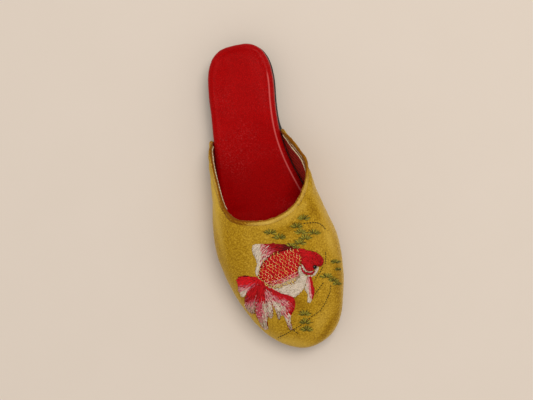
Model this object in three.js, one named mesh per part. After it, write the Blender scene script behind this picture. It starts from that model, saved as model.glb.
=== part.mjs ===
// A babouche slipper for the right foot: an open-backed velvet mule with a padded leather
// footbed, a thin sole and a low heel. Millimetres, +Z up, the toe towards -Y and the inner
// (medial) side of the foot towards +X. The origin lies on the floor below the middle.
import * as THREE from "three";
import { mergeVertices } from "three/addons/utils/BufferGeometryUtils.js";

// Driving dimensions of the whole slipper
const shoeLength = 249;
const shoeWidth = 97.5;
const heelWidth = 53;
const throatHeight = 50;

// Sole and heel
const outsoleThickness = 4;
const heelHeight = 12;
const heelLength = 62;
const heelTaper = 1.5;
const breastHollow = 5;
const toeSpring = 5;
const heelSoleProud = 0.8;
const upperSoleProud = 0.4;
const soleEdgeRound = 0.9;

// Padded footbed
const footbedHeelThickness = 8;
const footbedToeThickness = 5.5;
const footbedEdgeRadius = 3.6;
const footbedDish = 1.0;
const footbedUndercut = 0.5;

// Upper, its rolled collar and the piping inside the collar
const upperWall = 2.2;
const sideOverhang = 3.3;
const bulgeRise = 12;
const footLean = 55;
const collarRollRadius = 1.6;
const collarRollEndRadius = 1;
const pipingRadius = 0.6;
const pipingDrop = 1.6;
const touchGap = 0.3;

// How finely the round forms are divided
const outlineSteps = 104;
const acrossSteps = 5;
const ribCount = 80;
const ribSteps = 14;
const cordSides = 8;

// The footbed fills what the upper's wall and its overhang leave of the slipper.
const wallRoom = touchGap + upperWall;
const footbedLength = shoeLength - heelSoleProud - wallRoom - sideOverhang;
const footbedWidth = shoeWidth - 2 * (wallRoom + sideOverhang);
const heelEnd = shoeLength / 2 - heelSoleProud;

// The footbed's outline. Along is the share of the footbed's length from the back of the
// heel, and each side is the share of the local width from the middle line.
const heelTip = { along: 0, side: 0.01 };
const toeTip = { along: 1, side: 0.076 };
const outlineRows = [
  { along: 0.005, lateral: 0.205, medial: 0.235 },
  { along: 0.027, lateral: 0.35, medial: 0.383 },
  { along: 0.067, lateral: 0.453, medial: 0.466 },
  { along: 0.132, lateral: 0.519, medial: 0.481 },
  { along: 0.214, lateral: 0.557, medial: 0.43 },
  { along: 0.308, lateral: 0.556, medial: 0.368 },
  { along: 0.398, lateral: 0.507, medial: 0.339 },
  { along: 0.497, lateral: 0.462, medial: 0.363 },
  { along: 0.597, lateral: 0.487, medial: 0.438 },
  { along: 0.682, lateral: 0.495, medial: 0.5 },
  { along: 0.78, lateral: 0.438, medial: 0.489 },
  { along: 0.871, lateral: 0.345, medial: 0.431 },
  { along: 0.94, lateral: 0.222, medial: 0.362 },
  { along: 0.98, lateral: 0.088, medial: 0.27 },
];
const waist = { back: 0.22, front: 0.56 };

// The sole's side view: flat under the heel, a curve down to the tread, and the toe spring.
const tread = { back: 0.56, front: 0.76 };

// The upper's ribs, from the end of the outer wing round the toe to the end of the inner
// wing. At is the share of that way. Out is how far the rib bulges past its foot, and up the
// height of that bulge, as shares of the overhang and the bulge's rise. Back, side and high
// place the rib's end at the collar, as shares of the footbed's length and width and of the
// throat's height. Full is the exponent of the curve from the bulge to the collar.
const wingEnd = { lateral: 0.29, medial: 0.3 };
const ribRows = [
  { at: 0, out: 0.2, up: 0.16, back: 0.296, side: -0.405, high: 0.404, full: 1.4 },
  { at: 0.03, out: 0.4, up: 0.55, back: 0.326, side: -0.428, high: 0.504, full: 1.6 },
  { at: 0.07, out: 0.5, up: 0.95, back: 0.376, side: -0.438, high: 0.62, full: 1.8 },
  { at: 0.12, out: 0.8, up: 1.15, back: 0.442, side: -0.431, high: 0.736, full: 2 },
  { at: 0.18, out: 1.15, up: 1.05, back: 0.512, side: -0.407, high: 0.85, full: 2.1 },
  { at: 0.25, out: 1, up: 1, back: 0.559, side: -0.333, high: 0.94, full: 2 },
  { at: 0.35, out: 1, up: 0.9, back: 0.581, side: -0.191, high: 0.986, full: 1.9 },
  { at: 0.5, out: 0.9, up: 0.75, back: 0.59, side: 0.000, high: 1.000, full: 1.75 },
  { at: 0.65, out: 1, up: 0.9, back: 0.574, side: 0.191, high: 0.986, full: 1.9 },
  { at: 0.75, out: 0.9, up: 1, back: 0.545, side: 0.312, high: 0.948, full: 2 },
  { at: 0.82, out: 1.2, up: 1.15, back: 0.511, side: 0.386, high: 0.892, full: 2 },
  { at: 0.85, out: 1.6, up: 1.35, back: 0.488, side: 0.419, high: 0.856, full: 2 },
  { at: 0.88, out: 2.15, up: 1.6, back: 0.463, side: 0.441, high: 0.808, full: 1.9 },
  { at: 0.91, out: 2.65, up: 1.75, back: 0.434, side: 0.446, high: 0.756, full: 1.7 },
  { at: 0.94, out: 2.55, up: 1.5, back: 0.398, side: 0.421, high: 0.68, full: 1.5 },
  { at: 0.97, out: 1.15, up: 0.85, back: 0.349, side: 0.346, high: 0.54, full: 1.4 },
  { at: 1, out: 0.15, up: 0.16, back: 0.304, side: 0.282, high: 0.396, full: 1.4 },
];
const ribCrown = 0.86;
const ribSpread = 0.07;
const ribCrowding = 1.8;

const { lerp, smoothstep, degToRad } = THREE.MathUtils;
const up = new THREE.Vector3(0, 0, 1);

// A smooth value of one column of a table, where the key column has the value given.
function column(rows, key, name, value) {
  const last = rows.length - 1;
  let i = 0;
  while (i < last - 1 && rows[i + 1][key] < value) i += 1;
  const slope = (n) => {
    const a = rows[Math.max(n - 1, 0)];
    const b = rows[Math.min(n + 1, last)];
    return (b[name] - a[name]) / (b[key] - a[key]);
  };
  const [low, high] = [rows[i], rows[i + 1]];
  const span = high[key] - low[key];
  const t = (value - low[key]) / span;
  const rise = t * t * (3 - 2 * t);
  return (
    lerp(low[name], high[name], rise) +
    span * t * (1 - t) * ((1 - t) * slope(i) - t * slope(i + 1))
  );
}

// Width that the outline's shares refer to: the heel's, then the ball's.
function localWidth(along) {
  return lerp(heelWidth, footbedWidth, smoothstep(along, waist.back, waist.front));
}

function outlinePoint(along, side) {
  return new THREE.Vector3(side * localWidth(along), heelEnd - along * footbedLength, 0);
}

// The closed outline runs from the heel along the outer side to the toe and back.
const outline = new THREE.CatmullRomCurve3(
  [
    outlinePoint(heelTip.along, heelTip.side),
    ...outlineRows.map((r) => outlinePoint(r.along, -r.lateral)),
    outlinePoint(toeTip.along, toeTip.side),
    ...[...outlineRows].reverse().map((r) => outlinePoint(r.along, r.medial)),
  ],
  true,
  "centripetal",
);
const outlineNodes = outline.points.length;
const outlineToe = 0.5;

function alongOf(point) {
  return (heelEnd - point.y) / footbedLength;
}

// The outline's parameter where one side reaches the share given of its length.
function outlineAt(along, side) {
  let [low, high] = [0, outlineToe];
  for (let n = 0; n < 40; n += 1) {
    const middle = (low + high) / 2;
    const k = side === "lateral" ? middle : 1 - middle;
    if (alongOf(outline.getPoint(k)) < along) low = middle;
    else high = middle;
  }
  return side === "lateral" ? low : 1 - low;
}

function outwardAt(k) {
  return outline.getTangent(k).cross(up).setZ(0).normalize();
}

// A point a distance outside the footbed's outline, at the height that the rule gives.
function besideOutline(k, distance, height) {
  const point = outline.getPoint(k).addScaledVector(outwardAt(k), distance);
  return point.setZ(height(alongOf(point)));
}

// Heights of the layers, by the share of the length from the back of the heel.
const heelBreast = heelLength / footbedLength;
function underSole(along) {
  const seat = heelHeight * (1 - smoothstep(along, heelBreast, tread.back));
  const spring = Math.max(0, (along - tread.front) / (1 - tread.front));
  return seat + toeSpring * spring ** 2;
}
function overSole(along) {
  return underSole(along) + outsoleThickness;
}
function underFootbed(along) {
  return overSole(along) + touchGap;
}
function overFootbed(along) {
  const share = smoothstep(along, heelBreast, 1);
  return underFootbed(along) + lerp(footbedHeelThickness, footbedToeThickness, share);
}

// Two triangles for each cell of a grid of points. A cell that closes on a tip keeps one.
function addPatch(corners, rows, columns, at, flip = false) {
  for (let i = 0; i < rows; i += 1) {
    for (let j = 0; j < columns; j += 1) {
      const [a, b, c, d] = [at(i, j), at(i + 1, j), at(i + 1, j + 1), at(i, j + 1)];
      for (const face of [[a, b, c], [a, c, d]]) {
        const [p, q, r] = face;
        if (p.equals(q) || q.equals(r) || r.equals(p)) continue;
        corners.push(...(flip ? [p, r, q] : face));
      }
    }
  }
}

function geometryOf(corners) {
  const loose = new THREE.BufferGeometry().setFromPoints(corners);
  const solid = mergeVertices(loose, 1e-4);
  solid.computeVertexNormals();
  return solid;
}

// A plate made of layers. Each layer has a left and a right chain of points, from its first
// rung to its last, and the rungs close the first layer below and the last one above.
function plate(layers, dish = 0) {
  const rungs = layers[0].left.length - 1;
  const rungPoint = (layer, r, c, sag) => {
    const q = c / acrossSteps;
    const point = layer.left[r].clone().lerp(layer.right[r], q);
    return point.setZ(point.z - sag * 4 * q * (1 - q));
  };
  const round = (layer, n) => {
    if (n <= rungs) return layer.left[n];
    if (n <= rungs + acrossSteps) return rungPoint(layer, rungs, n - rungs, 0);
    if (n <= 2 * rungs + acrossSteps) return layer.right[2 * rungs + acrossSteps - n];
    return rungPoint(layer, 0, 2 * (rungs + acrossSteps) - n, 0);
  };
  const corners = [];
  const top = layers[layers.length - 1];
  const sag = (r) => dish * Math.sin((Math.PI * r) / rungs);
  addPatch(corners, rungs, acrossSteps, (r, c) => rungPoint(layers[0], r, c, 0), true);
  addPatch(corners, rungs, acrossSteps, (r, c) => rungPoint(top, r, c, sag(r)));
  addPatch(corners, 2 * (rungs + acrossSteps), layers.length - 1, (n, l) =>
    round(layers[l], n),
  );
  return geometryOf(corners);
}

// One layer of a plate that follows the whole outline at a distance outside it.
function outlineLayer(distance, height) {
  const half = outlineSteps / 2;
  const side = (mirror) =>
    Array.from({ length: half + 1 }, (_, n) => {
      const k = (outlineToe * n) / half;
      const at = mirror && n > 0 && n < half ? 1 - k : k;
      return besideOutline(at, distance(alongOf(outline.getPoint(at))), height);
    });
  return { left: side(false), right: side(true) };
}

// The sole stands proud of the footbed at the heel, and carries the wall further forward.
function soleEdge(along) {
  const start = Math.min(wingEnd.lateral, wingEnd.medial);
  const share = smoothstep(along, start - 0.02, start + 0.04);
  return lerp(heelSoleProud, wallRoom + upperSoleProud, share);
}

function outsoleGeometry() {
  const pulledIn = (inset) => (along) => soleEdge(along) - inset;
  const lift = (rule, rise) => (along) => rule(along) + rise;
  return plate([
    outlineLayer(pulledIn(soleEdgeRound), underSole),
    outlineLayer(pulledIn(0), lift(underSole, soleEdgeRound)),
    outlineLayer(pulledIn(0), lift(overSole, -soleEdgeRound / 2)),
    outlineLayer(pulledIn(soleEdgeRound / 2), overSole),
  ]);
}

function footbedGeometry() {
  const layers = [
    outlineLayer(() => -footbedUndercut, underFootbed),
    outlineLayer(() => 0, (along) => underFootbed(along) + footbedUndercut),
  ];
  for (const angle of [0, 30, 60, 90]) {
    const inset = footbedEdgeRadius * (1 - Math.cos(degToRad(angle)));
    const drop = footbedEdgeRadius * (1 - Math.sin(degToRad(angle)));
    layers.push(outlineLayer(() => -inset, (along) => overFootbed(along) - drop));
  }
  return plate(layers, footbedDish);
}

// The heel follows the sole's edge from its hollow breast round the back.
function heelLayer(inset, height) {
  const steps = Math.round(outlineSteps / 4);
  const side = (name) => {
    const breast = outlineAt(heelBreast, name);
    return Array.from({ length: steps + 1 }, (_, n) => {
      const k = name === "lateral" ? breast * (1 - n / steps) : lerp(breast, 1, n / steps);
      return besideOutline(n === steps ? 0 : k, heelSoleProud - inset, () => height);
    });
  };
  return { left: side("medial"), right: side("lateral") };
}

function heelGeometry() {
  const geometry = plate([
    heelLayer(heelTaper + soleEdgeRound, 0),
    heelLayer(heelTaper, soleEdgeRound),
    heelLayer(0, heelHeight - touchGap),
  ]);
  // The breast is hollowed towards the back between its two corners.
  const position = geometry.getAttribute("position");
  const breast = heelEnd - heelBreast * footbedLength;
  const middle = (outline.getPoint(outlineAt(heelBreast, "lateral")).x +
    outline.getPoint(outlineAt(heelBreast, "medial")).x) / 2;
  for (let n = 0; n < position.count; n += 1) {
    const across = (position.getX(n) - middle) / (heelWidth / 2);
    const depth = 1 - smoothstep(position.getY(n), breast, breast + heelLength / 2);
    const hollow = breastHollow * Math.max(0, 1 - across ** 2) * depth;
    position.setY(n, position.getY(n) + hollow);
  }
  geometry.computeVertexNormals();
  return geometry;
}

// One rib of the upper's outer face, as a fine line from the sole to the collar.
function ribLine(at) {
  const rib = (name) => column(ribRows, "at", name, at);
  const start = outlineAt(wingEnd.lateral, "lateral");
  const end = outlineAt(wingEnd.medial, "medial");
  const k = lerp(start, end, at);
  const foot = besideOutline(k, wallRoom, (along) => overSole(along) + touchGap);
  const bulge = foot.clone().addScaledVector(outwardAt(k), rib("out") * sideOverhang);
  bulge.z += rib("up") * bulgeRise;
  const collar = new THREE.Vector3(
    rib("side") * footbedWidth,
    heelEnd - rib("back") * footbedLength,
    rib("high") * throatHeight,
  );
  const points = [];
  const lean = degToRad(footLean);
  const lowSteps = 12;
  for (let n = 0; n < lowSteps; n += 1) {
    const angle = lean * (1 - n / lowSteps);
    const inward = (1 - Math.cos(angle)) / (1 - Math.cos(lean));
    const point = bulge.clone().lerp(foot, inward);
    points.push(point.setZ(lerp(bulge.z, foot.z, Math.sin(angle) / Math.sin(lean))));
  }
  const full = rib("full");
  const arch = (t) => (1 - (1 - ribCrown * t) ** full) ** (1 / full);
  const highSteps = 60;
  for (let n = 0; n <= highSteps; n += 1) {
    const t = (n / highSteps) ** 2;
    const point = bulge.clone().lerp(collar, t);
    points.push(point.setZ(lerp(bulge.z, collar.z, arch(t) / arch(1))));
  }
  return points;
}

// The same line with few points, crowded towards the sole where it bends most.
function ribPoints(at) {
  const line = ribLine(at);
  const lengths = [0];
  for (let n = 1; n < line.length; n += 1) {
    lengths.push(lengths[n - 1] + line[n].distanceTo(line[n - 1]));
  }
  const total = lengths[lengths.length - 1];
  return Array.from({ length: ribSteps + 1 }, (_, j) => {
    const wanted = total * (j / ribSteps) ** ribCrowding;
    let n = 1;
    while (n < line.length - 1 && lengths[n] < wanted) n += 1;
    const share = (wanted - lengths[n - 1]) / (lengths[n] - lengths[n - 1]);
    return line[n - 1].clone().lerp(line[n], THREE.MathUtils.clamp(share, 0, 1));
  });
}

// Ribs stand closer together at the ends of the wings.
function ribPlace(i) {
  const t = i / ribCount;
  return t - ribSpread * Math.sin(2 * Math.PI * t);
}

const outer = Array.from({ length: ribCount + 1 }, (_, i) => ribPoints(ribPlace(i)));

// Outward direction of the outer face. At its foot the wall stands upright on the sole.
function wallNormal(i, j) {
  const along = outer[Math.min(i + 1, ribCount)][j]
    .clone()
    .sub(outer[Math.max(i - 1, 0)][j]);
  const upward = outer[i][Math.min(j + 1, ribSteps)]
    .clone()
    .sub(outer[i][Math.max(j - 1, 0)]);
  const normal = along.clone().cross(upward).normalize();
  const level = along.cross(up).normalize();
  return level.lerp(normal, smoothstep(j, 0, 3)).normalize();
}

const normals = outer.map((rib, i) => rib.map((_, j) => wallNormal(i, j)));
const inner = outer.map((rib, i) =>
  rib.map((point, j) => point.clone().addScaledVector(normals[i][j], -upperWall)),
);

function upperGeometry() {
  const corners = [];
  const across = (i, j) => (c) => (c === 0 ? outer[i][j] : inner[i][j]);
  addPatch(corners, ribCount, ribSteps, (i, j) => outer[i][j]);
  addPatch(corners, ribCount, ribSteps, (i, j) => inner[i][j], true);
  addPatch(corners, ribCount, 1, (i, c) => across(i, ribSteps)(c));
  addPatch(corners, ribCount, 1, (i, c) => across(i, 0)(c), true);
  addPatch(corners, ribSteps, 1, (j, c) => across(0, j)(c));
  addPatch(corners, ribSteps, 1, (j, c) => across(ribCount, j)(c), true);
  return geometryOf(corners);
}

// A round cord along a line of centres, each with its own radius and two directions across.
function cordGeometry(stations) {
  const corners = [];
  const last = stations.length - 1;
  const ring = (s, n) => {
    const angle = (2 * Math.PI * (n % cordSides)) / cordSides;
    return s.centre
      .clone()
      .addScaledVector(s.outward, s.radius * Math.cos(angle))
      .addScaledVector(s.upward, s.radius * Math.sin(angle));
  };
  addPatch(corners, last, cordSides, (i, n) => ring(stations[i], n));
  const cap = (s) => (r, n) => (r === 0 ? s.centre.clone() : ring(s, n));
  addPatch(corners, 1, cordSides, cap(stations[0]));
  addPatch(corners, 1, cordSides, cap(stations[last]), true);
  return geometryOf(corners);
}

// Frame at the collar edge of a rib: the wall's outward and upward directions.
function collarFrame(i) {
  const outward = normals[i][ribSteps];
  const next = outer[Math.min(i + 1, ribCount)][ribSteps];
  const line = next.clone().sub(outer[Math.max(i - 1, 0)][ribSteps]);
  const upward = outward.clone().cross(line).normalize();
  return { outward, upward, edge: outer[i][ribSteps], inside: inner[i][ribSteps] };
}

// The velvet's rolled edge sits on the rim of the wall.
function collarRollGeometry() {
  const stations = outer.slice(1, ribCount).map((_, n) => {
    const i = n + 1;
    const { outward, upward, edge, inside } = collarFrame(i);
    const ends = smoothstep(Math.min(i, ribCount - i), 0, 6);
    const radius = lerp(collarRollEndRadius, collarRollRadius, ends);
    const centre = edge.clone().lerp(inside, 0.5).addScaledVector(upward, radius + touchGap);
    return { centre, outward, upward, radius };
  });
  return cordGeometry(stations);
}

// A thin piping lies on the inner face, just below the roll.
function collarPipingGeometry() {
  const stations = outer.map((_, i) => {
    const { outward, upward, inside } = collarFrame(i);
    const centre = inside
      .clone()
      .addScaledVector(upward, -pipingDrop)
      .addScaledVector(outward, -(pipingRadius + touchGap));
    return { centre, outward, upward, radius: pipingRadius };
  });
  const clearOfWings = 5;
  return cordGeometry(stations.slice(clearOfWings, stations.length - clearOfWings));
}

function finish(color, roughness, metalness = 0) {
  return new THREE.MeshStandardMaterial({ color, roughness, metalness });
}

const velvet = finish(0xb08a1e, 0.85);
const rolledVelvet = finish(0xb5830f, 0.8);
const redLeather = finish(0x9c0508, 0.45);
const cream = finish(0xd9c9a8, 0.6);
const darkRubber = finish(0x2c2a28, 0.6);

const slipper = new THREE.Group();
function add(name, geometry, material) {
  const mesh = new THREE.Mesh(geometry, material);
  mesh.name = name;
  slipper.add(mesh);
}

add("outsole", outsoleGeometry(), darkRubber);
add("heel", heelGeometry(), darkRubber);
add("footbed", footbedGeometry(), redLeather);
add("upper", upperGeometry(), velvet);
add("collar_roll", collarRollGeometry(), rolledVelvet);
add("collar_piping", collarPipingGeometry(), cream);

// The treads of the heel and of the forefoot lie at height 0. The origin goes to the middle
// of the slipper's length and width.
const middle = new THREE.Box3().setFromObject(slipper).getCenter(new THREE.Vector3());
for (const mesh of slipper.children) mesh.geometry.translate(-middle.x, -middle.y, 0);

export default slipper;
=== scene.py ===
# %% [markdown]
# # A velvet slipper, dressed around its CAD frame
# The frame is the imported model. Everything below is in metres in the frame's own axes: +Z
# is up, the toe points to -Y, and the inner side of the right foot is +X.

# %% The frame
import math

import bmesh
import bpy
import numpy as np
from mathutils import Matrix, Vector, kdtree, noise
from mathutils.bvhtree import BVHTree


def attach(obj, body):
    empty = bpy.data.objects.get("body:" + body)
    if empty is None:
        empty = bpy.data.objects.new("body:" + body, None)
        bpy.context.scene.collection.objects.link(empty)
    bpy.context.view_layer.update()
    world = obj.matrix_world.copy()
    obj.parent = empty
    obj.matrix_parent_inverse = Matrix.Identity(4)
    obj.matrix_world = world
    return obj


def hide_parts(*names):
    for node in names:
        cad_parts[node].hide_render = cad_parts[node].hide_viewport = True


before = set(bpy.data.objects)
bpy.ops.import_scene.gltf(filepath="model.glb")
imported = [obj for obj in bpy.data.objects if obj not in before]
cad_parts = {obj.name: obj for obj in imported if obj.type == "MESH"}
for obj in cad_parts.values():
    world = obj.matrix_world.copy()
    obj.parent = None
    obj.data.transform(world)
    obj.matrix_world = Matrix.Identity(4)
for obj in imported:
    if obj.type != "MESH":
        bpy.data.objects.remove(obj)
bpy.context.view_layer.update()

MM = 0.001

# %% [markdown]
# ## The camera
# The photo looks straight down on a floor from about 0.9 m, and the slipper lies beside the
# picture's middle. The camera stands at that very point. It is turned a few degrees to bring
# the slipper to the middle, which leaves every visible side as it was, and rolled, so that
# the toe points down and a little to the right.

# %% Camera
PHOTO_WIDTH = 533
PHOTO_CENTRE = (266.5, 200)
PHOTO_FOCAL = 1110
PHOTO_RIGHT = Vector((0.9763, -0.2164, 0))
PHOTO_UP = Vector((0.2164, 0.9763, 0))
SENSOR_WIDTH = 36
EYE = Vector((70.8, 10.5, 900)) * MM
AIM = Vector((-1, -2, 15)) * MM
scene = bpy.context.scene


def new_object(name, data):
    """A linked object at the origin."""
    made = bpy.data.objects.new(name, data)
    scene.collection.objects.link(made)
    return made


camera_data = bpy.data.cameras.new("camera")
camera_data.sensor_width = SENSOR_WIDTH
camera_data.lens = SENSOR_WIDTH * PHOTO_FOCAL / PHOTO_WIDTH
camera = new_object("camera", camera_data)
back = (EYE - AIM).normalized()
right = PHOTO_UP.cross(back).normalized()
turn = Matrix((right, back.cross(right), back)).transposed()
camera.matrix_world = Matrix.Translation(EYE) @ turn.to_4x4()
scene.camera = camera
print("camera lens", round(camera_data.lens, 1), "mm")

# %% [markdown]
# ## The studio
# A pale floor and a large soft lamp far above the upper right of the picture, where the
# photo's light comes from: the shadows fall softly to the lower left. It stands far away, so
# that the floor is lit evenly, and a pale world fills the shadows.

# %% Floor and lights
FLOOR_HALF = 6.0
KEY_PLACE = PHOTO_RIGHT * 0.7 + PHOTO_UP * 0.95 + Vector((0, 0, 2.5))
KEY_SIZE = 1.3
KEY_POWER = 35
KEY_TINT = (1, 0.98, 0.95)
WORLD_TINT = (1, 0.985, 0.965, 1)
WORLD_STRENGTH = 0.66

scene.view_settings.view_transform = "Standard"
scene.view_settings.look = "None"
floor_mesh = bpy.data.meshes.new("floor")
floor_corners = [
    (FLOOR_HALF * x, FLOOR_HALF * y, 0) for x, y in ((-1, -1), (1, -1), (1, 1), (-1, 1))
]
floor_mesh.from_pydata(floor_corners, [], [(0, 1, 2, 3)])
floor = new_object("floor", floor_mesh)

key_data = bpy.data.lights.new("key_lamp", "AREA")
key_data.size = KEY_SIZE
key_data.energy = KEY_POWER
key_data.color = KEY_TINT
key_lamp = new_object("key_lamp", key_data)
key_lamp.location = KEY_PLACE
key_lamp.rotation_euler = (AIM - KEY_PLACE).to_track_quat("-Z", "Y").to_euler()
world = bpy.data.worlds.new("pale_world")
world.use_nodes = True
glow = world.node_tree.nodes["Background"].inputs
glow["Color"].default_value = WORLD_TINT
glow["Strength"].default_value = WORLD_STRENGTH
scene.world = world
print("lamp", key_lamp.name, "over a floor of", 2 * FLOOR_HALF, "m")

# %% [markdown]
# ## Writing shaders as sums
# A material is a network of nodes, which is long to write. A small class wraps one socket,
# so that + - * on it add the Math node they stand for, and colours are mixed by one call.

# %% A socket that does sums


class Sock:
    """An output socket in a material, with arithmetic on numbers."""

    def __init__(self, kit, socket):
        self.kit = kit
        self.socket = socket

    def math(self, operation, first, second):
        return self.kit.node("ShaderNodeMath", {0: first, 1: second}, operation=operation)

    def __add__(self, other):
        return self.math("ADD", self, other)

    def __mul__(self, other):
        return self.math("MULTIPLY", self, other)

    def __sub__(self, other):
        return self.math("SUBTRACT", self, other)

    def __rsub__(self, other):
        return self.math("SUBTRACT", other, self)

    __radd__ = __add__
    __rmul__ = __mul__

    def clamped(self):
        return self.kit.node("ShaderNodeClamp", {"Value": self})

    def between(self, low, high):
        """0 below low, 1 above high, and smooth between them."""
        limits = {"Value": self, "From Min": low, "From Max": high}
        return self.kit.node("ShaderNodeMapRange", limits, interpolation_type="SMOOTHSTEP")


# %% [markdown]
# A second class makes any node from its type, what its sockets get and its settings. The
# third holds one material, with the few patterns that recur: soft noise, slanted threads, a
# measure stored on the piece, a mix of two colours and a bump.

# %% A finish
MIX_FIRST, MIX_SECOND, MIX_RESULT = 6, 7, 2


class Net:
    """A network of nodes."""

    def __init__(self, tree):
        self.tree = tree

    def feed(self, place, value):
        if isinstance(value, Sock):
            self.tree.links.new(value.socket, place)
        else:
            place.default_value = value

    def node(self, kind, values, out=0, **settings):
        made = self.tree.nodes.new(kind)
        for key, value in settings.items():
            setattr(made, key, value)
        for key, value in values.items():
            self.feed(made.inputs[key], value)
        return Sock(self, made.outputs[out])


class Finish(Net):
    """One material, with a method for each pattern that recurs."""

    def __init__(self, name):
        self.material = bpy.data.materials.new(name)
        self.material.use_nodes = True
        super().__init__(self.material.node_tree)

    def place(self):
        """The piece's own coordinates, in metres."""
        return self.node("ShaderNodeTexCoord", {}, "Object")

    def stored(self, name, out="Fac"):
        """A measure or a colour that the piece carries."""
        return self.node("ShaderNodeAttribute", {}, out, attribute_name=name)

    def cloud(self, size_mm, detail=3, roughness=0.55, stretch=(1, 1, 1), seed=0.0):
        """Soft noise with blotches of about that size, from 0 to 1."""
        moved = {"Vector": self.place(), "Scale": stretch, "Location": (seed,) * 3}
        at = self.node("ShaderNodeMapping", moved)
        look = {"Vector": at, "Scale": 1000 / size_mm, "Detail": detail, "Roughness": roughness}
        return self.node("ShaderNodeTexNoise", look)

    def threads(self, scale, distortion):
        """Slanted parallel threads, from 0 to 1."""
        look = {"Vector": self.place(), "Scale": scale, "Distortion": distortion, "Detail": 2}
        return self.node(
            "ShaderNodeTexWave", look, wave_type="BANDS", bands_direction="DIAGONAL"
        )

    def blend(self, share, first, second):
        """first where share is 0, and second where it is 1."""
        first, second = (c if isinstance(c, Sock) else (*c, 1) for c in (first, second))
        values = {"Factor": share, MIX_FIRST: first, MIX_SECOND: second}
        return self.node("ShaderNodeMix", values, MIX_RESULT, data_type="RGBA")

    def bump(self, height, strength, depth_mm):
        values = {"Height": height, "Strength": strength, "Distance": depth_mm * MM}
        return self.node("ShaderNodeBump", values)

    def surface(self, **values):
        """Sets the shader's sockets, written in lower case with _ for a space."""
        shader = self.tree.nodes["Principled BSDF"]
        sockets = {socket.name.lower().replace(" ", "_"): socket for socket in shader.inputs}
        for key, value in values.items():
            self.feed(sockets[key], (*value, 1) if isinstance(value, tuple) else value)
        return self.material


print("shader kit ready")

# %% [markdown]
# ## The floor's finish
# A matt paper sheet: one pale warm colour with a hardly visible mottle.

# %% Floor finish
PAPER_LIGHT = (0.705, 0.608, 0.52)
PAPER_DARK = (0.685, 0.59, 0.5)
paper = Finish("paper_floor")
paper.surface(
    base_color=paper.blend(paper.cloud(60), PAPER_DARK, PAPER_LIGHT),
    roughness=0.95,
    specular_ior_level=0.05,
)
floor.data.materials.append(paper.material)
print("floor finish", paper.material.name)

# %% [markdown]
# ## Velvet
# Velvet is a short dense pile. It looks deep where it is seen straight on, and pale along
# the edges, where the fibres' sides catch the light: that is the shader's sheen. A brushed
# pile never lies one way, so the colour goes through three shades. Wide soft noise is the
# nap, middling noise the crushed mottle of a few millimetres, and fine noise the single
# tufts. The same noises feed the bump, so that light and colour agree. A measure that is
# stored on the piece makes chosen places paler or deeper: partly brushed nap, and partly
# painted highlights and painted shade.

# %% Velvet finish
TUFT_SIZE = 1.1
CRUSH_SIZE = 2.1
NAP_SIZE = 46
NAP_STRETCH = (1.4, 0.7, 1)
PILE_DEPTH = 0.7
VELVET_SHEEN = (1, 0.78, 0.36)


def velvet_finish(name, deep, gold, brushed_and_lit, sheen):
    """A pile fabric in three shades of one colour."""
    cloth = Finish(name)
    grain = cloth.cloud(TUFT_SIZE, detail=2, roughness=0.65)
    crush = cloth.cloud(CRUSH_SIZE, detail=2, roughness=0.5, seed=3.1)
    nap = cloth.cloud(NAP_SIZE, detail=2, stretch=NAP_STRETCH, seed=1.7)
    brush_and_light = cloth.stored("brushed_and_lit")
    tuft = grain.between(0.3, 0.7) * 0.74 + crush.between(0.25, 0.75) * 0.26
    # the stored marks are partly brushed nap, partly painted light: pale ones are painted
    # highlights, deep ones painted shade
    pressed_and_shaded = (brush_and_light * -0.9).clamped()
    tone = cloth.blend((tuft - pressed_and_shaded).clamped(), deep, gold)
    pale = nap.between(0.4, 0.72) * 0.2 + grain.between(0.52, 0.72) * 0.4 + brush_and_light
    return cloth.surface(
        base_color=cloth.blend(pale.clamped(), tone, brushed_and_lit),
        roughness=(0.8 + crush * 0.16).clamped(),
        specular_ior_level=0.08,
        sheen_weight=sheen,
        sheen_roughness=0.32,
        sheen_tint=VELVET_SHEEN,
        normal=cloth.bump(grain + crush * 0.6, 0.7, PILE_DEPTH),
    )


velvet = velvet_finish(
    "gold_velvet", (0.245, 0.118, 0.0025), (0.51, 0.287, 0.012), (0.62, 0.39, 0.055), 0.6
)
rolled_velvet = velvet_finish(
    "rolled_velvet", (0.19, 0.058, 0.001), (0.42, 0.205, 0.006), (0.66, 0.43, 0.08), 0.5
)
print("velvets", velvet.name, rolled_velvet.name)

# %% [markdown]
# ## Leather
# The footbed is wrapped in smooth red leather: a fine pebble grain of small cells, a soft
# gloss that varies where feet have rubbed it, and a colour a little darker in its pores.
# The red is deep and full, so the gloss on top stays weak. Pale flecks in the colour, more
# of them in a few broad patches, are painted glints. Along the crest of the bead on the
# inner side, which faces the lamp, the colour is painted pale as a highlight. A measure
# stored on the footbed says how far each point lies from that crest.

# %% Leather finish
CREST_HALF = 0.0008
PEBBLE_SCALE = 900
LEATHER_DEEP = (0.34, 0.0004, 0.0008)
LEATHER_FULL = (0.46, 0.0012, 0.0018)
LEATHER_PORE = (0.22, 0.0004, 0.0008)
LEATHER_PAINTED_GLINT = (0.5, 0.06, 0.06)
LEATHER_CREST_HIGHLIGHT = (0.68, 0.14, 0.13)
LEATHER_GLOSS = (1, 0.3, 0.28)
leather = Finish("red_leather")
pebble = leather.node(
    "ShaderNodeTexVoronoi",
    {"Vector": leather.place(), "Scale": PEBBLE_SCALE},
    feature="DISTANCE_TO_EDGE",
)
pores = pebble.between(0.02, 0.3)
worn = leather.cloud(26, seed=2.2)
fleck = leather.cloud(1.1, roughness=0.7, seed=4.4)
dye = (worn.between(0.3, 0.75) * 0.6 + fleck.between(0.3, 0.7) * 0.4).clamped()
tone = leather.blend(dye, LEATHER_DEEP, LEATHER_FULL)
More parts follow.
